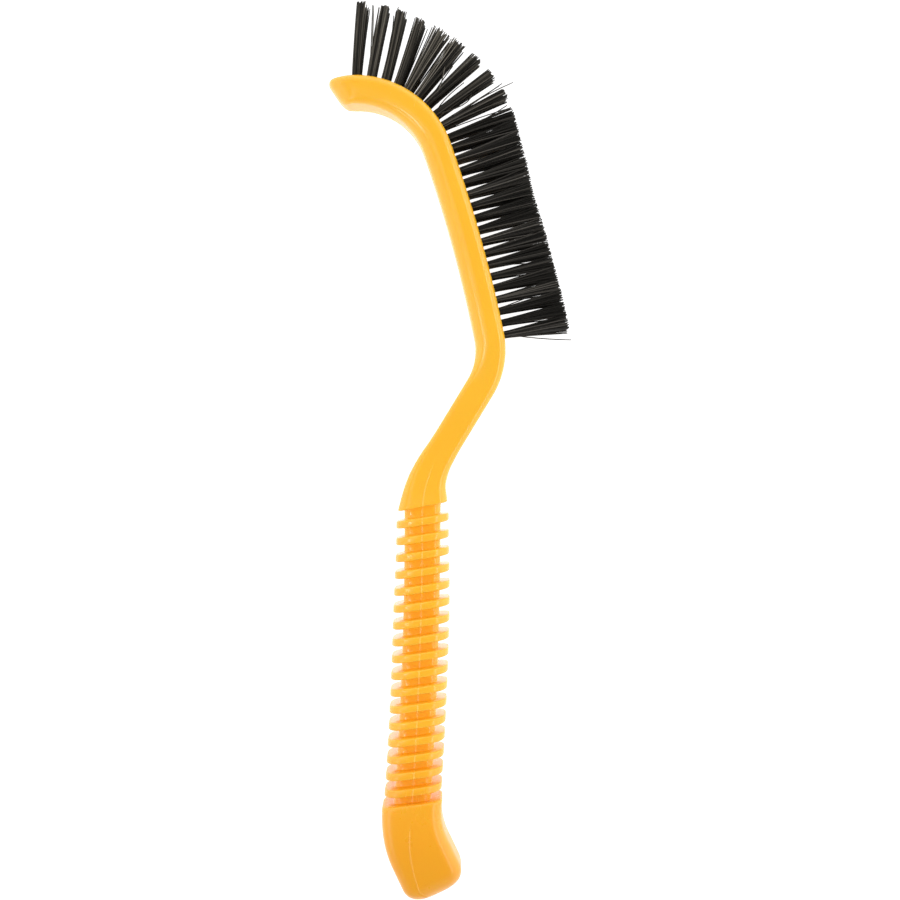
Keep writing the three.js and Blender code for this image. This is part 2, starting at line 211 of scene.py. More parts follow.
def soft_turn(steps, fullness, end=90.0):
    """Points (over, up) of a quarter turn that starts and ends flatter than a circle."""
    angles = np.radians(np.linspace(0, end, steps + 1))
    return [(math.sin(a) ** (2 / fullness), abs(math.cos(a)) ** (2 / fullness)) for a in angles]


CORNER_TURN = soft_turn(CORNER_STEPS, CORNER_FULLNESS)


def outline(section, seam_height, seam_place):
    """The section's points (out, across), once round, with the seam on its upper and lower sides."""
    thickness, width, face, back, crown = section
    half_n, half_z = thickness / 2, width / 2
    crown *= 2 * half_z / HEAD_WIDTH
    limit = min(half_n, half_z) - LEAST_FLAT / 2
    face, back = min(face, limit), min(back, limit)

    def sunk(n, z):
        """The flats are slightly crowned: they sink towards the edges."""
        return n, z - math.copysign(crown * (n / half_n) ** 2, z)

    def corner(side_n, side_z, edge):
        """One corner, in the order that the walk round the section meets its points."""
        points = [sunk(side_n * (half_n - edge + edge * over), side_z * (half_z - edge + edge * up))
                  for over, up in CORNER_TURN]
        return points if side_n * side_z > 0 else points[::-1]

    place = min(max(seam_place, back - half_n + SEAM_ROOM), half_n - face - SEAM_ROOM)
    behind = np.linspace(back - half_n, place - SEAM_ROOM, FLAT_STEPS + 1)[1:]
    ahead = np.linspace(place + SEAM_ROOM, half_n - face, FLAT_STEPS + 1)[:-1]
    seam = [sunk(place + step * SEAM_HALF_WIDTH, half_z + seam_height * (1 - step * step))
            for step in SEAM_STEPS]
    upper = [sunk(n, half_z) for n in behind] + seam + [sunk(n, half_z) for n in ahead]
    lower = [(n, -z) for n, z in reversed(upper)]
    return (corner(1, 1, face) + corner(1, -1, face) + lower
            + corner(-1, -1, back) + corner(-1, 1, back) + upper)


print("outline:", len(outline(neck_section(HEEL_END), 0, 0)), "points")

# %% [markdown]
# The skin of the moulding is a stack of rings along the spine, each an outline set across it.
# A curve with one bevel profile would be quicker, but its section couldn't change along the way.
# From the butt to the collar the rings lean over: the bristle side goes ahead of the back,
# because the ribs of the real grip are tilted.
# A ring also notes three numbers for the finish: how deep it lies in a groove,
# how far its seam stands out, and which of its points are near the ends of the ribs.
# The finish paints light by them: bounced light in the grooves, a highlight on the seam and the table's
# light at the rib ends.

# %% One ring of the skin
RIB_TILT, TOP_RIB_TILT = math.radians(7.2), math.radians(9.2)
SHOULDER_RISE = 1.4
SHOULDER = BUTT_TOP + SHOULDER_RISE
SEAM_HEIGHT = 0.13
SEAM_START = (0.5, 4.0)
SEAM_FADE = (COLLAR + 6.0, COLLAR + 17.0)
SEAM_WORN = (BUTT_TOP - 9.0, BUTT_TOP - 5.0)
SEAM_DRIFT, DRIFT_START = -5.2, 3.0
# How far out the painted table light on the rib ends begins, and where it is full.
TABLE_LIGHT_REACH = (5.2, 6.1)
rings, groove_tones, seam_tones, table_light_tones = [], [], [], []


def rib_lean(distance, tilt=None):
    """How far a rib leans; the tilt grows slowly from the butt to the collar."""
    if tilt is None:
        tilt = mix(RIB_TILT, TOP_RIB_TILT, (distance - BUTT_TOP) / GRIP_LENGTH)
    return math.tan(tilt + spine_at(distance)[3])


def add_ring(distance, section, lean=0.0, groove=0.0):
    """One ring of the skin; the lean pushes its bristle side ahead of its back."""
    point, along, out, _ = spine_at(distance)
    worn = ease(distance, *SEAM_WORN) * (distance < SHOULDER)
    seam = (1 - ease(distance, *SEAM_FADE)) * ease(distance, *SEAM_START) * (1 - worn)
    drift = SEAM_DRIFT * (1 - ease(distance, DRIFT_START, BUTT_TOP))
    points = outline(section, seam * SEAM_HEIGHT, drift)
    rings.append([point + n * (out + lean * along) + z * ACROSS for n, z in points])
    groove_tones.append(groove)
    seam_tones.append(seam)
    table_light_tones.append([ease(abs(n), *TABLE_LIGHT_REACH) for n, z in points])


def add_rings(places, section_at, lean_at):
    for distance in places:
        add_ring(distance, section_at(distance), lean_at(distance))


def quarter(steps):
    """Angles of a quarter round, with both ends."""
    return np.linspace(0, math.pi / 2, steps + 1)


print("rings lean", round(math.degrees(RIB_TILT), 1), "to", round(math.degrees(TOP_RIB_TILT), 1), "degrees")

# %% [markdown]
# The butt is the foot of the handle, cranked aside so that the hand doesn't slide off.
# Its end is a big round, made by drawing the first rings in along a quarter circle.
# A subdivision surface would round it too, but would also pull in the flats, which the real butt keeps.
# A small round at its top makes the shoulder under the grip.

# %% Butt
BUTT_END_ROUND, BUTT_END_STEPS = 6.5, 10
SHOULDER_ROUND, SHOULDER_STEPS = 0.9, 5
BUTT_STEPS = 25


def butt_lean(distance):
    return rib_lean(distance) * ease(distance, BUTT_END_ROUND, BUTT_TOP)


def add_butt():
    for angle in quarter(BUTT_END_STEPS):
        distance = BUTT_END_ROUND * (1 - math.cos(angle))
        inset = BUTT_END_ROUND * (1 - math.sin(angle))
        add_ring(distance, shrunk(butt_section(distance), inset, inset))
    places = np.linspace(BUTT_END_ROUND, SHOULDER - SHOULDER_ROUND, BUTT_STEPS + 1)[1:]
    add_rings(places, butt_section, butt_lean)
    for angle in quarter(SHOULDER_STEPS)[1:]:
        distance = SHOULDER - SHOULDER_ROUND * (1 - math.sin(angle))
        inset = SHOULDER_ROUND * (1 - math.cos(angle))
        add_ring(distance, shrunk(butt_section(distance), inset, inset), butt_lean(distance))


add_butt()
print("butt:", len(rings), "rings")

# %% [markdown]
# The grip is a soft square core with seventeen rounder ribs, all tilted, and smaller towards the collar.
# A rib has a rounded rim and a small fillet at its foot, and both catch the light.
# They could be cut with booleans and bevels; here each ring of the skin simply gets the size
# that a rib's profile has at that distance, which keeps clean loops all the way along.

# %% Ribbed grip
RIB_THICKNESS = 2.6
RIB_SIZES, TAPERED_RIBS = (19.1, 17.7), 6
RIB_EDGE = 7.5
RIM_ROUND, RIM_STEPS = 0.6, 5
FOOT_ROUND, FOOT_STEPS = 0.3, 3
RIB_DRAFT = 0.2
CORE_SIZE, CORE_EDGE = 12.1, 3.2
CORE_RADIUS = CORE_SIZE / 2
COLLAR_TILT = math.radians(11)
RING_GAP = 0.02


def rib_profile(radius):
    """Half a rib, from the middle of its rim to its foot, as (distance, radius) pairs."""
    half = RIB_THICKNESS / 2
    pairs = [(half - RIM_ROUND + RIM_ROUND * math.sin(a), radius - RIM_ROUND + RIM_ROUND * math.cos(a))
             for a in quarter(RIM_STEPS)]
    foot = half + RIB_DRAFT + FOOT_ROUND
    pairs += [(foot - FOOT_ROUND * math.cos(a), CORE_RADIUS + FOOT_ROUND * (1 - math.sin(a)))
              for a in quarter(FOOT_STEPS)]
    return pairs


def add_grip_ring(distance, radius, rim, tilt=None):
    depth = min(max((rim - radius) / (rim - CORE_RADIUS), 0.0), 1.0)
    edge = mix(RIB_EDGE, CORE_EDGE, depth)
    add_ring(distance, square_section(2 * radius, edge), rib_lean(distance, tilt), depth)


def add_foot(place, way, tilt=None):
    """The fillet where the core meets the butt's shoulder or the collar's face."""
    for angle in quarter(FOOT_STEPS)[::way]:
        distance = place + way * FOOT_ROUND * (1 - math.cos(angle))
        add_grip_ring(distance, CORE_RADIUS + FOOT_ROUND * (1 - math.sin(angle)), RIB_SIZES[0] / 2, tilt)


def add_grip():
    add_foot(SHOULDER + RING_GAP, 1)
    for rib in range(1, RIB_COUNT + 1):
        middle = BUTT_TOP + rib * RIB_PITCH
        radius = mix(*RIB_SIZES, ease(rib, RIB_COUNT - TAPERED_RIBS, RIB_COUNT)) / 2
        profile = rib_profile(radius)
        for offset, ring_radius in reversed(profile):
            add_grip_ring(middle - offset, ring_radius, radius)
        for offset, ring_radius in profile:
            add_grip_ring(middle + offset, ring_radius, radius)
    add_foot(COLLAR - RING_GAP, -1, COLLAR_TILT)


add_grip()
print("grip:", RIB_COUNT, "ribs,", len(rings), "rings so far")

# %% [markdown]
# Above the grip the moulding is smooth: the collar thins into the neck, the neck swings over into the head,
# and the head curls round to the toe. More rings stand where it bends or changes quickly.
# The nose ends in a slant, seen from the side, and in a soft round, seen from the bristles.
# It could be a separate cap, but rings that narrow along the same soft turn as the corners leave no seam.

# %% Neck, head and nose
COLLAR_ROUND, COLLAR_STEPS = 0.5, 4
TILT_FADE = 10.0
NECK_STEPS, CRANK_STEPS, HEEL_STEPS, HEAD_STEPS, TOE_STEPS = 18, 12, 16, 22, 29
NOSE_SLANT = math.tan(math.radians(20))
NOSE_ROUND = 2.2
NOSE_LENGTH, NOSE_STEPS = 8.5, 24
NOSE_TIP_ANGLE = 89.0
NOSE_START = TOE_END - NOSE_LENGTH


def neck_lean(distance):
    return rib_lean(distance, COLLAR_TILT) * (1 - ease(distance, COLLAR, COLLAR + TILT_FADE))


def add_neck_and_head():
    for angle in quarter(COLLAR_STEPS):
        distance = COLLAR + COLLAR_ROUND * (1 - math.cos(angle))
        inset = COLLAR_ROUND * (1 - math.sin(angle))
        add_ring(distance, shrunk(neck_section(distance), inset, inset), neck_lean(distance))
    stops = [COLLAR + COLLAR_ROUND, NECK_BEND_END, HEEL_START, HEEL_END, TOE_START]
    for start, end, steps in zip(stops, stops[1:], (NECK_STEPS, CRANK_STEPS, HEEL_STEPS, HEAD_STEPS)):
        add_rings(np.linspace(start, end, steps + 1)[1:], neck_section, neck_lean)
    for distance in np.linspace(TOE_START, NOSE_START, TOE_STEPS + 1)[1:]:
        add_ring(distance, neck_section(distance))


def add_nose():
    for over, up in soft_turn(NOSE_STEPS, CORNER_FULLNESS, NOSE_TIP_ANGLE)[1:]:
        distance = NOSE_START + NOSE_LENGTH * over
        section = neck_section(distance)
        into_round = min(max((distance - TOE_END) / NOSE_ROUND + 1, 0.0), 1.0)
        dip = NOSE_ROUND * (1 - math.sqrt(1 - into_round ** 2))
        narrowing = section[1] / 2 * (1 - up)
        slant = NOSE_SLANT * ease(distance, NOSE_START, TOE_END)
        add_ring(distance, shrunk(section, dip, narrowing), slant)


add_neck_and_head()
add_nose()
print("moulding:", len(rings), "rings")

# %% [markdown]
# The tufts stand in columns along the outer face of the head, one tuft in each of two rows.
# They could be set by eye, but the drill stepped evenly along that face, so its steps are counted here too.
# It opened them a little at the toe and closed them at the heel.
# Every tuft has a frame of its own: its foot on the face, the way along the head and the way out.
# The first anchor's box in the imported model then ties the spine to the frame,
# because that anchor lies a known depth below the foot of the first tuft.

# %% Places of the tufts
TUFT_COLUMNS = 27
TUFT_PITCH = 4.14
FIRST_TUFT_INSET = 10.21
TOE_OPENING, TOE_OPENING_COLUMNS = 1.5, 3
HEEL_CLOSING, HEEL_COLUMN = 0.12, 18
ROW_SPACING = 7.0
ANCHOR_DEPTH = 3.9


def tuft_place(column):
    """Where a column stands on the spine, walked back from the toe along the tuft face."""
    opening = TOE_OPENING * max(1 - column / TOE_OPENING_COLUMNS, 0.0) ** 2
    closing = HEEL_CLOSING * max(column - HEEL_COLUMN, 0)
    left = FIRST_TUFT_INSET + column * TUFT_PITCH - opening - closing
    distance = TOE_END
    for length, turn in reversed(SPINE):
        stretch = 1 - turn / length * HEAD_THICKNESS / 2
        run = min(left, length * stretch)
        distance -= run / stretch
        left -= run
    return distance


def tuft_frame(column, side):
    """Foot of a tuft on the face, the way back along the head, and the way out."""
    distance = tuft_place(column)
    point, along, out, _ = spine_at(distance)
    foot = point + out * neck_section(distance)[0] / 2 + ACROSS * side * ROW_SPACING / 2
    return foot, along, out


anchor_low, anchor_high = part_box("anchor_left_01")
first_foot, _, first_out = tuft_frame(0, 1)
anchor_middle = np.array((anchor_low + anchor_high) / 2) / MM
ORIGIN = anchor_middle - (first_foot - ANCHOR_DEPTH * first_out)
print("spine starts at", [round(float(v), 2) for v in ORIGIN], "mm")

# %% [markdown]
# The rings become one closed skin: four-sided faces between neighbours, and a flat cap at each end.
# Bridging edge loops by hand would give the same faces; a list of them is quicker and never twists.
# Smooth shading hides the facets, and edges that really turn a corner stay sharp.

# %% Skin of the moulding
SHARP_ANGLE = math.radians(50)
BARE_CORNERS, BARE_FLAT = 2 * (CORNER_STEPS + 1) * [0.0], FLAT_STEPS * [0.0]
SEAM_RISES = [1 - step * step for step in SEAM_STEPS]
SEAM_ROUND_RING = 2 * (BARE_CORNERS + BARE_FLAT + SEAM_RISES + BARE_FLAT)


def new_piece(name, points_mm, faces, nodes):
    """A mesh in the frame, in metres, that rides on the brush and stands for some nodes."""
    mesh = bpy.data.meshes.new(name)
    mesh.from_pydata((np.asarray(points_mm) + ORIGIN) * MM, [], faces)
    mesh.validate()
    mesh.polygons.foreach_set("use_smooth", [True] * len(mesh.polygons))
    mesh.set_sharp_from_angle(angle=SHARP_ANGLE)
    piece = bpy.data.objects.new(name, mesh)
    bpy.context.scene.collection.objects.link(piece)
    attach(piece, "root")
    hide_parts(*nodes)
    return piece


def set_tone(piece, name, values):
    """One number for each point, for a finish to read."""
    piece.data.attributes.new(name, "FLOAT", "POINT").data.foreach_set("value", values)


sides = len(rings[0])
last = (len(rings) - 1) * sides
skin_faces = [(base + j, base + (j + 1) % sides, base + sides + (j + 1) % sides, base + sides + j)
              for base in range(0, last, sides) for j in range(sides)]
skin_faces.append(tuple(reversed(range(sides))))
skin_faces.append(tuple(range(last, last + sides)))
moulding = new_piece("moulded_handle", [p for ring in rings for p in ring], skin_faces,
                     ["handle"])
set_tone(moulding, "groove", np.repeat(groove_tones, sides))
set_tone(moulding, "seam", np.outer(seam_tones, SEAM_ROUND_RING).ravel())
# The side tone masks the painted table light at the ends of the ribs.
set_tone(moulding, "side", np.ravel(table_light_tones))
print("moulding:", len(moulding.data.polygons), "faces")

# %% [markdown]
# A tuft is a bundle of stiff nylon filaments, folded in its hole and trimmed at the tips.
# A hair system could grow them, but real meshes travel to other programs with the part.
# So each filament is a slim six-sided rod along a path of its own.
# Most leave their hole straight and drift slowly to their tips. A few have been knocked askew,
# and those swing round a knee, like a curve with one handle.

# %% Paths and rods of the filaments
FILAMENT_DIAMETER, TIP_TAPER = 0.36, 0.82
FILAMENT_SIDES = 6
FILAMENT_RINGS = 7
ROOT_DEPTH = 1.5
EARLY_DRIFT = 0.75
SHARES = np.linspace(0, 1, FILAMENT_RINGS)[:, None]


def filament_path(axes, start, tip):
    """Points of one filament: straight out of its hole, then curving to its tip."""
    foot, along, out = axes
    reach = -ROOT_DEPTH + (tip[2] + ROOT_DEPTH) * SHARES
    rise = np.clip(reach / tip[2], 0, 1)
    drift = rise * (EARLY_DRIFT + (1 - EARLY_DRIFT) * rise)
    sideways = start[0] + (tip[0] - start[0]) * drift
    across = start[1] + (tip[1] - start[1]) * drift
    return foot + out * reach + along * sideways + ACROSS * across


def knocked_path(axes, knee, tip):
    """Points of a filament that was knocked askew: out of its hole, round a knee and on to its tip."""
    foot, along, out = axes
    bend = 2 * SHARES * (1 - SHARES) * np.array(knee) + SHARES ** 2 * np.array(tip)
    return foot + bend @ np.array([along, ACROSS, out])


def add_filament(points, faces, path, axes):
    """A rod along the path, with its ends closed and its tip slightly drawn in."""
    _, along, _ = axes
    first = len(points)
    turn = 2 * np.pi * np.arange(FILAMENT_SIDES) / FILAMENT_SIDES
    offsets = np.outer(np.cos(turn), along) + np.outer(np.sin(turn), ACROSS)
    for number, centre in enumerate(path):
        radius = FILAMENT_DIAMETER / 2 * (TIP_TAPER if number == FILAMENT_RINGS - 1 else 1.0)
        points.extend(centre + radius * offsets)
    for ring in range(FILAMENT_RINGS - 1):
        base = first + ring * FILAMENT_SIDES
        for j in range(FILAMENT_SIDES):
            k = (j + 1) % FILAMENT_SIDES
            faces.append((base + k, base + j, base + FILAMENT_SIDES + j, base + FILAMENT_SIDES + k))
    end = first + (FILAMENT_RINGS - 1) * FILAMENT_SIDES
    faces.append(tuple(range(first, first + FILAMENT_SIDES)))
    faces.append(tuple(reversed(range(end, end + FILAMENT_SIDES))))


print("filament:", FILAMENT_DIAMETER, "mm thick,", FILAMENT_RINGS * FILAMENT_SIDES, "points")

# %% [markdown]
# The filaments of a tuft fill a small disc at its foot and a larger one at its tips.
# Points set out by the golden angle, like the seeds of a sunflower, fill a disc evenly, and no grid shows.
# The tufts along the head flare into each other. Those at the toe stand apart, so each has a lean,
# a shift and a spread of its own, as on the brush in the picture. The trim is a little uneven everywhere.

# %% Spread of a tuft
FILAMENTS = 38
GOLDEN_ANGLE = math.pi * (3 - math.sqrt(5))
FOOT_RADII, FLARE_COLUMNS = (1.4, 0.84), (2, 9)
LENGTH_COLUMNS = (0, 4, 8, 11, 16, 26)
LENGTHS = (25.0, 23.0, 23.9, 22.7, 21.2, 21.9)
TRIM_SCATTER = 0.4
TIP_RADIUS, TIP_SCATTER = 2.45, 0.3
STRAY_SHARE, STRAY_SCATTER = 0.03, 1.6
REACH_ACROSS = 9.0
LEAN_SCATTER = math.radians(0.8)
TOE_LEANS = (-5.0, -2.7, 3.0, 4.0, 0.8, 0.2, -1.4, -2.0, -4.5, -5.0)
TOE_SHIFTS = (0.0, 0.0, -0.3, -0.5, 0.0, 0.2, 0.5, 0.2, 0.0, -0.4)
TOE_TIP_RADII = (1.6, 1.6, 1.65, 1.9, 3.6, 2.7, 2.2, 1.8, 2.1, 1.9)
LAST_LEAN, LAST_TIP_RADIUS = 0.5, 2.9
chance = np.random.default_rng(27)


def tuft_stance(column):
    """Lean and shift of a tuft, and the radius of its tips."""
    lean = chance.normal(0, LEAN_SCATTER, 2)
    shift = np.zeros(2)
    tip_radius = TIP_RADIUS
    if column < len(TOE_LEANS):
        lean[0] += math.radians(TOE_LEANS[column])
        shift[0] = TOE_SHIFTS[column]
        tip_radius = TOE_TIP_RADII[column]
    if column == TUFT_COLUMNS - 1:
        lean[0] += math.radians(LAST_LEAN)
        tip_radius = LAST_TIP_RADIUS
    return lean, shift, tip_radius


def tuft_tips(column, side):
    """Start and tip of each filament of a tuft, in its own frame: along, across and out."""
    length = np.interp(column, LENGTH_COLUMNS, LENGTHS)
    foot_radius = mix(*FOOT_RADII, ease(column, *FLARE_COLUMNS))
    lean, shift, tip_radius = tuft_stance(column)
    row = side * ROW_SPACING / 2
    pairs = []
    for number in range(FILAMENTS):
        angle = number * GOLDEN_ANGLE
        spot = math.sqrt((number + 0.5) / FILAMENTS) * np.array([math.cos(angle), math.sin(angle)])
        stray = STRAY_SCATTER if chance.random() < STRAY_SHARE else 0.0
        wander = chance.normal(0, TIP_SCATTER, 2) + chance.normal(0, 1, 2) * (stray, stray / 2)
        height = length - abs(chance.normal(0, TRIM_SCATTER))
        tip = shift + spot * tip_radius + wander + height * np.tan(lean)
        across = min(max(tip[1] + row, -REACH_ACROSS), REACH_ACROSS) - row
        pairs.append((shift + spot * foot_radius, np.array([tip[0], across, height])))
    return pairs


print("tuft:", FILAMENTS, "filaments, two rows", ROW_SPACING, "mm apart")

# %% [markdown]
# The tufts go together in four runs, from toe to heel, as they do in the imported model,
# and each run stands for its solid there. One mesh for each filament would be slow to handle.
# The knocked filaments are listed one by one: the number of their column, their knee and their tip.
# Every filament notes its own tone, and every ring how far it has reached, for the finish to read.

# %% Runs of tufts
KNOCKED = [
    (2, (1.2, 0.5, 12.0), (2.6, 1.0, 23.6)),
    (3, (2.2, 0.5, 12.0), (2.4, 1.0, 24.6)),
    (7, (-1.4, 1.0, 5.0), (4.4, 2.0, 13.0)),
    (7, (1.6, 1.5, 6.0), (2.6, 2.5, 15.0)),
    (8, (-5.6, 2.0, 11.0), (-2.7, 2.0, 13.4)),
    (8, (2.4, 1.0, 4.0), (2.0, 2.0, 14.0)),
    (9, (0.3, 1.0, 11.0), (0.6, 4.0, 23.8)),
    (9, (1.4, 2.0, 13.0), (-1.0, 4.0, 27.1)),
    (10, (-1.0, 1.0, 11.0), (0.7, 2.0, 22.1)),
    (27, (-3.8, 0.0, 11.0), (-6.0, 0.0, 21.9)),
]
RUNS = ["toe", "bend", "middle", "heel"]


def column_paths(column):
    """The paths of all filaments in a column, each with the frame of its tuft."""
    paths = []
    for side in (1, -1):
        axes = tuft_frame(column, side)
        paths += [(axes, filament_path(axes, start, tip)) for start, tip in tuft_tips(column, side)]
    axes = tuft_frame(column, 1)
    knocked = [(knee, tip) for number, knee, tip in KNOCKED if number == column + 1]
    return paths + [(axes, knocked_path(axes, knee, tip)) for knee, tip in knocked]


def add_run(run):
    """All the tufts of one run of columns, as one piece."""
    first = run * TUFT_COLUMNS // len(RUNS)
    end = (run + 1) * TUFT_COLUMNS // len(RUNS)
    paths = [entry for column in range(first, end) for entry in column_paths(column)]
    points, faces = [], []
    for axes, path in paths:
        add_filament(points, faces, path, axes)
    name = RUNS[run]
    piece = new_piece(f"{name}_tufts", points, faces, [f"{name}_bristles"])
    set_tone(piece, "tone", np.repeat(chance.random(len(paths)), FILAMENT_RINGS * FILAMENT_SIDES))
    set_tone(piece, "reach", np.tile(np.repeat(SHARES, FILAMENT_SIDES), len(paths)))
    print("tufts:", piece.name, "columns", first + 1, "to", end, len(piece.data.polygons), "faces")
    return piece


tufts = [add_run(run) for run in range(len(RUNS))]

# %% [markdown]
# Finishes are written as sums. The class below wraps one output of a shader node,
# so that 1 - worn or haze * 0.2 adds the Math nodes by itself. Wiring them by hand would hide the idea.
# Its method node adds any other node: first its settings, then what goes into its sockets.

# %% Shader sums
class Sum:
    """An output of a shader node that takes part in plain arithmetic."""

    def __init__(self, tree, socket=None):
        self.tree = tree
        self.socket = socket

    def node(self, kind, settings=None, inputs=None, output=0):
        """Adds a node, sets it up, fills its sockets and gives back one of its outputs."""
        made = self.tree.nodes.new(kind)
        for name, value in (settings or {}).items():
            setattr(made, name, value)
        for name, value in (inputs or {}).items():
            if isinstance(value, Sum):
                value.into(made.inputs[name])
            else:
                made.inputs[name].default_value = value
        return Sum(self.tree, made.outputs[output])

    def into(self, socket):
        """Feeds this value into a socket."""
        self.tree.links.new(self.socket, socket)

    def math(self, operation, first, second):
        return self.node("ShaderNodeMath", {"operation": operation}, {0: first, 1: second})

    def __add__(self, other):
        return self.math("ADD", self, other)

    def __radd__(self, other):
        return self.math("ADD", other, self)

    def __sub__(self, other):
        return self.math("SUBTRACT", self, other)

    def __rsub__(self, other):
        return self.math("SUBTRACT", other, self)

    def __mul__(self, other):
        return self.math("MULTIPLY", self, other)

    def __rmul__(self, other):
        return self.math("MULTIPLY", other, self)

    def part(self, axis):
        """One coordinate of a vector."""
        return self.node("ShaderNodeSeparateXYZ", {}, {"Vector": self}, output=axis)

    def between(self, low, high):
        """0 where the value is low, 1 where it is high, smooth between."""
        return self.node("ShaderNodeMapRange", {"interpolation_type": "SMOOTHSTEP"},
                         {"Value": self, "From Min": low, "From Max": high})

    def blend(self, colour_a, colour_b):
        """Mixes two colours by this value."""
        return self.node("ShaderNodeMix", {"data_type": "RGBA"},
                         {"Factor": self, 6: colour_a, 7: colour_b}, output=2)

    def stretched(self, scale):
        """A place whose axes are scaled, so that a noise read there is drawn out."""
        return self.node("ShaderNodeMapping", {}, {"Vector": self, "Scale": scale})

    def noise(self, scale, detail=2.0, roughness=0.5):
        """A noise read at this place."""
        return self.node("ShaderNodeTexNoise", {},
                         {"Vector": self, "Scale": scale, "Detail": detail, "Roughness": roughness})

    def tone(self, name):
        """A number that the mesh holds for each point."""
        return self.node("ShaderNodeAttribute", {"attribute_name": name}, output="Fac")


def new_finish(name):
    """An empty finish: a start for its sums, the place on the piece, and its surface shader's sockets."""
    finish = bpy.data.materials.new(name)
    finish.use_nodes = True
    sums = Sum(finish.node_tree)
    place = sums.node("ShaderNodeTexCoord", output="Object")
    return finish, sums, place, finish.node_tree.nodes["Principled BSDF"].inputs


print("shader sums ready")

# %% [markdown]
# The handle is dyed plastic straight from the mould, and a flat yellow would look like paint.
# So the dye clouds a little, and it is a little deeper yellow down the grip.
# The butt is painted darker and more orange, and its end darker still: painted shade.
# In the grooves the light goes from wall to wall and comes out orange: a more orange colour and a faint
# glow paint that bounced light in.
# The walls at the ends of the ribs get a painted cream, the white table's light painted onto them.
# The fine seam gets a painted highlight, a paler yellow.
# An image could hold all this, but sums of noise, place and the rings' own numbers stay sharp at any size.

# %% Dye and painted light of the plastic
BLACK = (0, 0, 0, 1)
YELLOW = (0.93, 0.475, 0.022, 1)
PALE_YELLOW = (0.94, 0.505, 0.03, 1)
GRIP_YELLOW = (0.92, 0.465, 0.022, 1)
# Painted bounced light: a more orange colour and a faint glow in the grooves.
GROOVE_PAINTED_BOUNCE, GROOVE_BOUNCE_STRENGTH = (0.98, 0.46, 0.014, 1), 0.8
GROOVE_PAINTED_GLOW = (0.1, 0.037, 0.0, 1)
# Painted table light: cream on the walls at the ends of the ribs.
WALL_PAINTED_TABLE_LIGHT, TABLE_LIGHT_STRENGTH = (0.92, 0.7, 0.36, 1), 0.7
# Painted shade: the butt darker and more orange, and its end darker still.
BUTT_PAINTED_SHADE = (0.87, 0.365, 0.008, 1)
END_PAINTED_SHADE = (0.79, 0.335, 0.006, 1)
# Painted highlight: the seam is paler yellow, fainter on the butt.
SEAM_PAINTED_HIGHLIGHT, SEAM_HIGHLIGHT_STRENGTH, SEAM_LOSS_ON_BUTT = (0.96, 0.56, 0.08, 1), 0.4, 0.25
CLOUD_SCALE, CLOUD_DETAIL, CLOUD_RANGE = 38.0, 3.0, (0.35, 0.7)
CORE_DEPTH, WALL_TOP, WALL_FOOT = (0.7, 1.0), (0.05, 0.3), (0.9, 1.0)
# A shader reads its place in metres, so these fades along the brush are in metres too.
GRIP_FADE, BUTT_FADE, END_FADE = (-0.03, 0.11), (-0.135, -0.085), (-0.15, -0.12)
yellow_plastic, sums, place, sockets = new_finish("yellow_plastic")
height = place.part("Y")
grip_tint = 1 - height.between(*GRIP_FADE)
# Masks of the butt's painted shade and of its end; the butt mask also dulls the gloss and the seam.
butt_tint = 1 - height.between(*BUTT_FADE)
end_shade_mask = 1 - height.between(*END_FADE)
groove = sums.tone("groove")
# Mask of the painted bounced light, deep in the grooves.
core = groove.between(*CORE_DEPTH)
# Mask of the painted table light on the end walls of the ribs.
end_wall_table_light = groove.between(*WALL_TOP) * (1 - groove.between(*WALL_FOOT)) * sums.tone("side")
# Mask of the seam's painted highlight.
seam = sums.tone("seam") * (SEAM_HIGHLIGHT_STRENGTH - butt_tint * SEAM_LOSS_ON_BUTT)
clouds = place.noise(CLOUD_SCALE, CLOUD_DETAIL).between(*CLOUD_RANGE)
dye_and_painted_light = clouds.blend(YELLOW, PALE_YELLOW)
dye_and_painted_light = grip_tint.blend(dye_and_painted_light, GRIP_YELLOW)
dye_and_painted_light = (core * GROOVE_BOUNCE_STRENGTH).blend(dye_and_painted_light, GROOVE_PAINTED_BOUNCE)
dye_and_painted_light = (end_wall_table_light * TABLE_LIGHT_STRENGTH).blend(dye_and_painted_light, WALL_PAINTED_TABLE_LIGHT)
# Painted shade on the butt and its end.
dye_and_painted_light = butt_tint.blend(dye_and_painted_light, end_shade_mask.blend(BUTT_PAINTED_SHADE, END_PAINTED_SHADE))
# Painted highlight on the seam.
seam.blend(dye_and_painted_light, SEAM_PAINTED_HIGHLIGHT).into(sockets["Base Color"])
# The glow is painted bounced light, not a lamp.
core.blend(BLACK, GROOVE_PAINTED_GLOW).into(sockets["Emission Color"])
sockets["Emission Strength"].default_value = 1.0
print("dye:", yellow_plastic.name)

# %% [markdown]
# The mould was polished, so the plastic has a satin gloss, and light goes a little way into it.
# Such a gloss is never even: a slow haze, fine rub marks along the handle
# and the faint grain of the mould break it.
# They change the roughness and a very small bump. Real dents would be far too many for a mesh.

# %% Gloss of the plastic
SATIN, HAZE_DULLS, RUB_DULLS, BUTT_DULLS = 0.15, 0.08, 0.1, 0.1
RUB_STRETCH, RUB_RANGE = (1.0, 0.12, 1.0), (0.58, 0.75)
RUB_DEPTH = 0.3
haze = place.noise(120.0, 3.0)
rub = place.stretched(RUB_STRETCH).noise(900.0, 4.0, 0.65).between(*RUB_RANGE)
grain = place.noise(1400.0, 3.0, 0.6)
dullness = SATIN + haze * HAZE_DULLS + rub * RUB_DULLS + butt_tint * BUTT_DULLS
dullness.into(sockets["Roughness"])
bump = {"Strength": 0.25, "Distance": 0.00004, "Height": grain + rub * RUB_DEPTH}
sums.node("ShaderNodeBump", {}, bump, output="Normal").into(sockets["Normal"])
sockets["Specular IOR Level"].default_value = 0.6
sockets["Subsurface Weight"].default_value = 0.18
sockets["Subsurface Radius"].default_value = (1.0, 0.42, 0.08)
sockets["Subsurface Scale"].default_value = 0.0025
moulding.data.materials.append(yellow_plastic)
print("finish:", yellow_plastic.name)
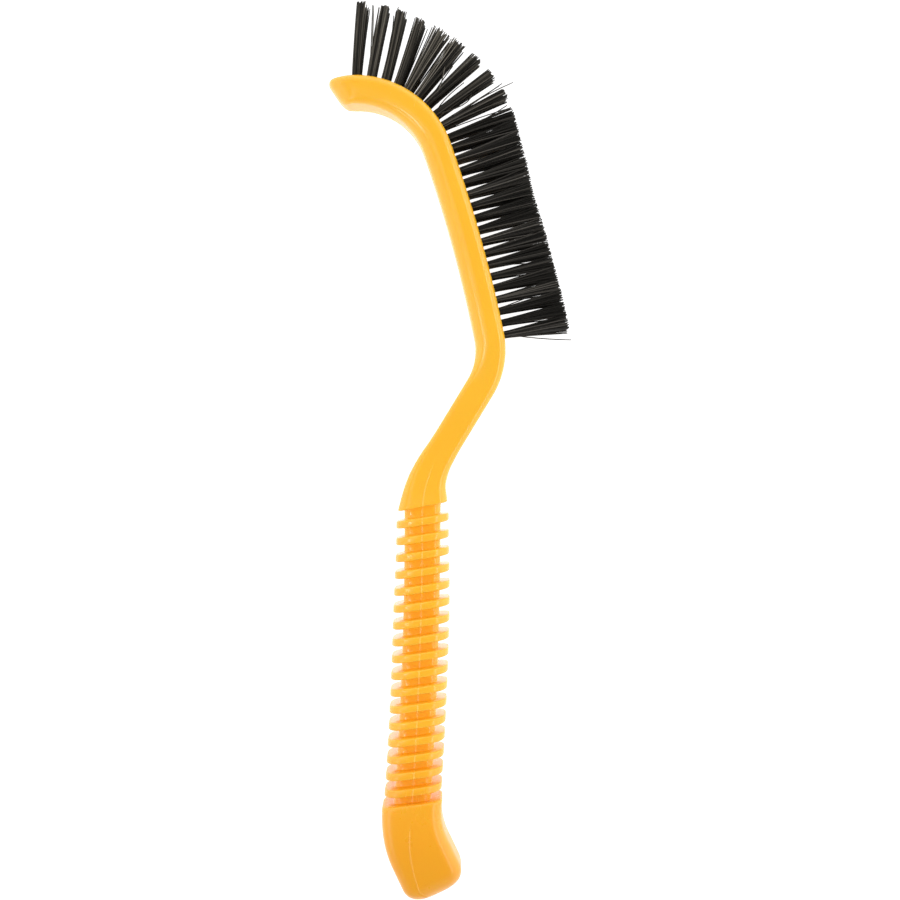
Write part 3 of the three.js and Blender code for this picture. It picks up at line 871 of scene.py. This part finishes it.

# %% [markdown]
# Nylon bristle is black all through, with a soft sheen along each filament.
# One black for all of them would melt into a block. So the filaments differ: most are nearly black
# and a few are paler, which shows as fine lines along the tufts.
# The sparse tufts at the toe let more light through, and that light is painted in as a browner colour.
# The trimmed tips are greyer, where the cut left them rough.

# %% Black nylon
NYLON_BLACK, NYLON_PALE = (0.0108, 0.0098, 0.008, 1), (0.11, 0.101, 0.088, 1)
# Painted back light: the toe tufts are browner, for the light that comes through them.
NYLON_PAINTED_BACKLIGHT, BACKLIGHT_FROM = (0.19, 0.17, 0.137, 1), (0.108, 0.14)
CUT_GREY, CUT_STRENGTH, CUT_FROM = (0.034, 0.031, 0.026, 1), 0.4, (0.93, 1.0)
SHEEN, TONE_DULLS, DUST_DULLS = 0.3, 0.16, 0.1
black_nylon, sums, place, sockets = new_finish("black_nylon")
tone = sums.tone("tone")
pale = tone * tone
cut = sums.tone("reach").between(*CUT_FROM)
dust = place.noise(700.0)
backlight = place.part("Y").between(*BACKLIGHT_FROM)
body = (pale * pale * tone).blend(NYLON_BLACK, NYLON_PALE)
# Painted back light on the toe tufts.
body = (backlight * pale).blend(body, NYLON_PAINTED_BACKLIGHT)
(cut * CUT_STRENGTH).blend(body, CUT_GREY).into(sockets["Base Color"])
(SHEEN + tone * TONE_DULLS + dust * DUST_DULLS).into(sockets["Roughness"])
sockets["Specular IOR Level"].default_value = 0.18
for piece in tufts:
    piece.data.materials.append(black_nylon)
print("finish:", black_nylon.name, "on", len(tufts), "runs")

# %% [markdown]
# The anchors are short pieces of drawn steel wire, rolled flat. They sit deep in the head, under the tufts,
# and hardly a picture shows them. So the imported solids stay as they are,
# and only get a metal finish with fine drawing lines.

# %% Steel wire
DARK_STEEL, BRIGHT_STEEL = (0.42, 0.43, 0.44, 1), (0.62, 0.63, 0.64, 1)
LINE_STRETCH = (1.0, 1.0, 0.05)
POLISH, LINES_DULL = 0.28, 0.2
steel_wire, _, place, sockets = new_finish("steel_wire")
lines = place.stretched(LINE_STRETCH).noise(6000.0)
lines.blend(DARK_STEEL, BRIGHT_STEEL).into(sockets["Base Color"])
(POLISH + lines * LINES_DULL).into(sockets["Roughness"])
sockets["Metallic"].default_value = 1.0
anchors = [node for name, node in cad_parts.items() if name.startswith("anchor_")]
for node in anchors:
    node.data.materials.clear()
    node.data.materials.append(steel_wire)
print("finish:", steel_wire.name, "on", len(anchors), "anchors")

# %% [markdown]
# The brush lies on a plain white light table, as small goods do for a catalogue,
# so it has hardly a shadow and its lower edges are pale.
# A sheet of white card would need so much light from above that the yellow would bleach.
# So the table glows by itself, just enough to come out white.

# %% White table
TABLE_REACH, TABLE_DROP = 3.0, 0.0002
table_mesh = bpy.data.meshes.new("table")
corners = [(x * TABLE_REACH, y * TABLE_REACH, 0) for x, y in ((-1, -1), (1, -1), (1, 1), (-1, 1))]
table_mesh.from_pydata(corners, [], [(0, 1, 2, 3)])
table = bpy.data.objects.new("table", table_mesh)
table.location.z = -TABLE_DROP
bpy.context.scene.collection.objects.link(table)
white_table, _, _, sockets = new_finish("white_table")
sockets["Base Color"].default_value = (0.3, 0.3, 0.3, 1)
sockets["Roughness"].default_value = 0.9
sockets["Emission Color"].default_value = (1, 1, 1, 1)
sockets["Emission Strength"].default_value = 1.0
table_mesh.materials.append(white_table)
print("table:", 2 * TABLE_REACH, "m wide")

# %% [markdown]
# A white tent stands round the table. Its roof is dim, so edges that turn away from the camera
# are brighter than the flats. It is brighter at the toe's end and on the right,
# and it glows at its foot, where the table ends.
# It could be a dome of mesh with lamps behind it, but a sky that reads the way each ray goes is simpler.

# %% White tent
WALL_GLOW, ROOF_GLOW, FOOT_GLOW = 0.8, 0.25, 0.25
TOE_GLOW, RIGHT_GLOW, LEFT_GLOW = 0.6, 0.4, 0.1
# How far a ray must point that way for the glow to begin, and to be full.
TOE_WAY, RIGHT_WAY, LEFT_WAY = (-0.7, 0.4), (0.3, 0.8), (0.5, 0.85)
FOOT_WAY, ROOF_WAY = (0.02, 0.3), (0.5, 0.98)
sky = bpy.data.worlds.new("sky")
sky.use_nodes = True
way = Sum(sky.node_tree).node("ShaderNodeTexCoord", output="Generated")
rightward, toeward, upward = way.part("X"), way.part("Y"), way.part("Z")
leftward = 0 - rightward
tent = WALL_GLOW + toeward.between(*TOE_WAY) * TOE_GLOW
tent = tent + rightward.between(*RIGHT_WAY) * RIGHT_GLOW + leftward.between(*LEFT_WAY) * LEFT_GLOW
foot = 1 - upward.between(*FOOT_WAY)
roof = upward.between(*ROOF_WAY)
glow = tent * (1 - roof) + roof * ROOF_GLOW + foot * FOOT_GLOW
glow.into(sky.node_tree.nodes["Background"].inputs["Color"])
bpy.context.scene.world = sky
print("tent:", len(sky.node_tree.nodes), "nodes")

# %% [markdown]
# Four soft lamps draw the shine. A strip nearly overhead and one on the right make the long soft bands.
# A small lamp on the left puts short streaks on the bend and the heel,
# and a broad one lights the bevel of the butt.
# Round bulbs would leave hard dots on the plastic, but a studio's soft boxes are wide rectangles,
# and so are these.

# %% Soft lamps
# Each lamp's name, its place and its size in metres, and its power in watts.
LAMPS = [
    ("bend_lamp", (-0.437, -0.05, 0.853), (0.26, 0.16), 0.7),
    ("butt_lamp", (-0.64, -0.377, 0.685), (0.35, 0.35), 0.6),
    ("left_strip", (-0.27, 0.05, 0.93), (0.24, 0.7), 0.5),
    ("right_strip", (0.4, 0.0, 0.6), (0.08, 0.9), 1.1),
]


def soft_box(name, location, size, power):
    """A soft rectangular light that looks at the middle of the brush."""
    light = bpy.data.lights.new(name, "AREA")
    light.shape = "RECTANGLE"
    light.size, light.size_y = size
    light.energy = power
    lamp = bpy.data.objects.new(name, light)
    lamp.location = location
    aim = -lamp.location
    lamp.rotation_mode = "QUATERNION"
    lamp.rotation_quaternion = aim.to_track_quat("-Z", "X")
    bpy.context.scene.collection.objects.link(lamp)


for lamp_values in LAMPS:
    soft_box(*lamp_values)
bpy.context.scene.view_settings.view_transform = "Standard"
print("lamps:", len(LAMPS))

# %% [markdown]
# The picture was taken from straight above, close enough for the ribs to open towards the butt.
# So the camera looks down on the middle of the brush from under half a metre,
# with the lens that makes the picture as wide as the photographer's frame was.

# %% Camera
CAMERA_HEIGHT = 465.0
PICTURE_WIDTH = 304.6
CAMERA_OVER = (0.44, 0.55)
MID_PLANE = ORIGIN[2]
lens = bpy.data.cameras.new("camera")
lens.sensor_width = 36.0
lens.lens = lens.sensor_width * CAMERA_HEIGHT / PICTURE_WIDTH
lens.clip_start, lens.clip_end = 0.01, 20.0
camera = bpy.data.objects.new("camera", lens)
camera.location = (CAMERA_OVER[0] * MM, CAMERA_OVER[1] * MM, (MID_PLANE + CAMERA_HEIGHT) * MM)
bpy.context.scene.collection.objects.link(camera)
bpy.context.scene.camera = camera
print("camera:", round(lens.lens, 1), "mm lens")
